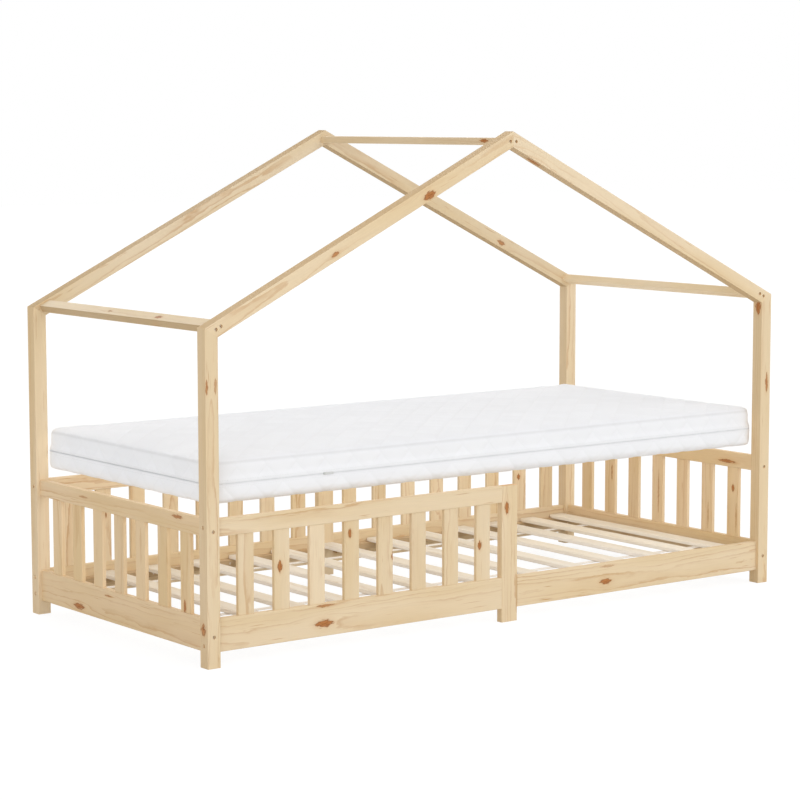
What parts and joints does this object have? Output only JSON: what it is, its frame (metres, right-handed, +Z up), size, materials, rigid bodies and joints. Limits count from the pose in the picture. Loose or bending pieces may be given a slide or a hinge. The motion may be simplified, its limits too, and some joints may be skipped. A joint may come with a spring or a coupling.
{
  "type": "house frame bed",
  "caption": "Child's floor bed framed like a small house: open gables on both long sides, low guard panels, slat base and a lift-off mattress.",
  "frame": {"origin": "centre of the footprint on the floor", "axes": "+X along the length towards the open half of the front, +Y from the front gable to the rear gable, +Z up"},
  "size_m": [2.06, 0.955, 1.401],
  "materials": {
    "frame_pine": "planed and sanded pine, clear matt",
    "slat_pine": "sawn and sanded pine, bare",
    "ledge_pine": "planed pine, bare",
    "dowel_beech": "turned beech, bare",
    "strap_textile": "flat woven band, off-white, matt",
    "screw_steel": "zinc plated, satin",
    "staple_steel": "drawn wire, bright",
    "mattress_cover": "quilted jersey over foam, matt",
    "zip_metal": "lacquered, satin"
  },
  "bodies": {
    "frame": {"balusters_front_left": "frame_pine", "balusters_left_end": "frame_pine", "balusters_rear_left": "frame_pine", "balusters_rear_right": "frame_pine", "balusters_right_end": "frame_pine", "beam_screws": "screw_steel", "bottom_rail_front_left": "frame_pine", "bottom_rail_front_right": "frame_pine", "bottom_rail_left_end": "frame_pine", "bottom_rail_rear_left": "frame_pine", "bottom_rail_rear_right": "frame_pine", "bottom_rail_right_end": "frame_pine", "eave_beam_left": "frame_pine", "eave_beam_right": "frame_pine", "end_rail_screws": "screw_steel", "guard_rail_front_left": "frame_pine", "guard_rail_left_end": "frame_pine", "guard_rail_rear_left": "frame_pine", "guard_rail_rear_right": "frame_pine", "guard_rail_right_end": "frame_pine", "ledge_screws": "screw_steel", "mid_post_dowels": "dowel_beech", "mid_post_front": "frame_pine", "mid_post_rear": "frame_pine", "mitre_dowels": "dowel_beech", "post_front_left": "frame_pine", "post_front_right": "frame_pine", "post_rear_left": "frame_pine", "post_rear_right": "frame_pine", "rafter_front_left": "frame_pine", "rafter_front_right": "frame_pine", "rafter_rear_left": "frame_pine", "rafter_rear_right": "frame_pine", "ridge_beam": "frame_pine", "side_rail_screws": "screw_steel", "slat_01": "slat_pine", "slat_02": "slat_pine", "slat_03": "slat_pine", "slat_04": "slat_pine", "slat_05": "slat_pine", "slat_06": "slat_pine", "slat_07": "slat_pine", "slat_08": "slat_pine", "slat_09": "slat_pine", "slat_10": "slat_pine", "slat_11": "slat_pine", "slat_12": "slat_pine", "slat_13": "slat_pine", "slat_ledge_front_left": "ledge_pine", "slat_ledge_front_right": "ledge_pine", "slat_ledge_rear_left": "ledge_pine", "slat_ledge_rear_right": "ledge_pine", "slat_strap_front": "strap_textile", "slat_strap_rear": "strap_textile", "strap_staples": "staple_steel"},
    "mattress": {"mattress": "mattress_cover", "mattress_zip_slider": "zip_metal"}
  },
  "joints": [
    {"name": "mattress_lift", "type": "slide", "parent": "frame", "child": "mattress", "axis": [0, 0, 1], "range_m": [-0.3217, 0]}
  ]
}
